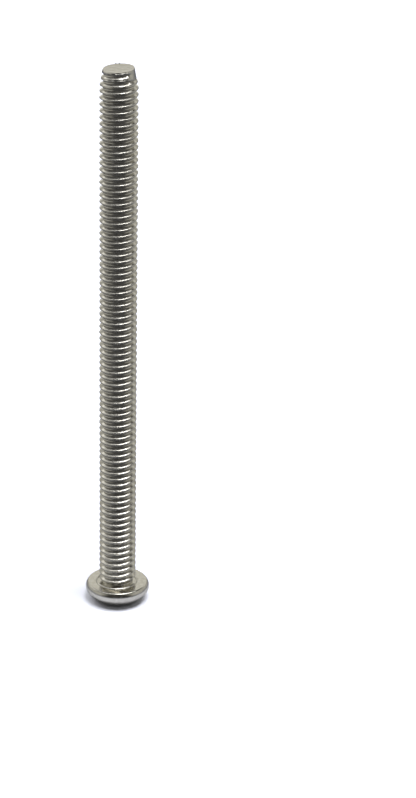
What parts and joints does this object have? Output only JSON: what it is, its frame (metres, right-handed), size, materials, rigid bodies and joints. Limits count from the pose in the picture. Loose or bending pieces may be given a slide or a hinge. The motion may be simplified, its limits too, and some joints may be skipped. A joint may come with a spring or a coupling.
{
  "type": "button head screw",
  "caption": "Long stainless button head screw with a hexagon socket, threaded up to the head, standing on its crown.",
  "frame": {"origin": "centre of the crown flat, the face of the head that the screw stands on", "axes": "+Z along the screw's axis, from the head to the point; the hexagon's corners lie on +X and -X"},
  "size_m": [0.01, 0.01, 0.0872],
  "materials": {
    "stainless_steel": "bright stainless steel, slightly warm, with fine turning and rolling marks"
  },
  "bodies": {
    "root": {"button_head_screw": "stainless_steel"}
  },
  "joints": []
}
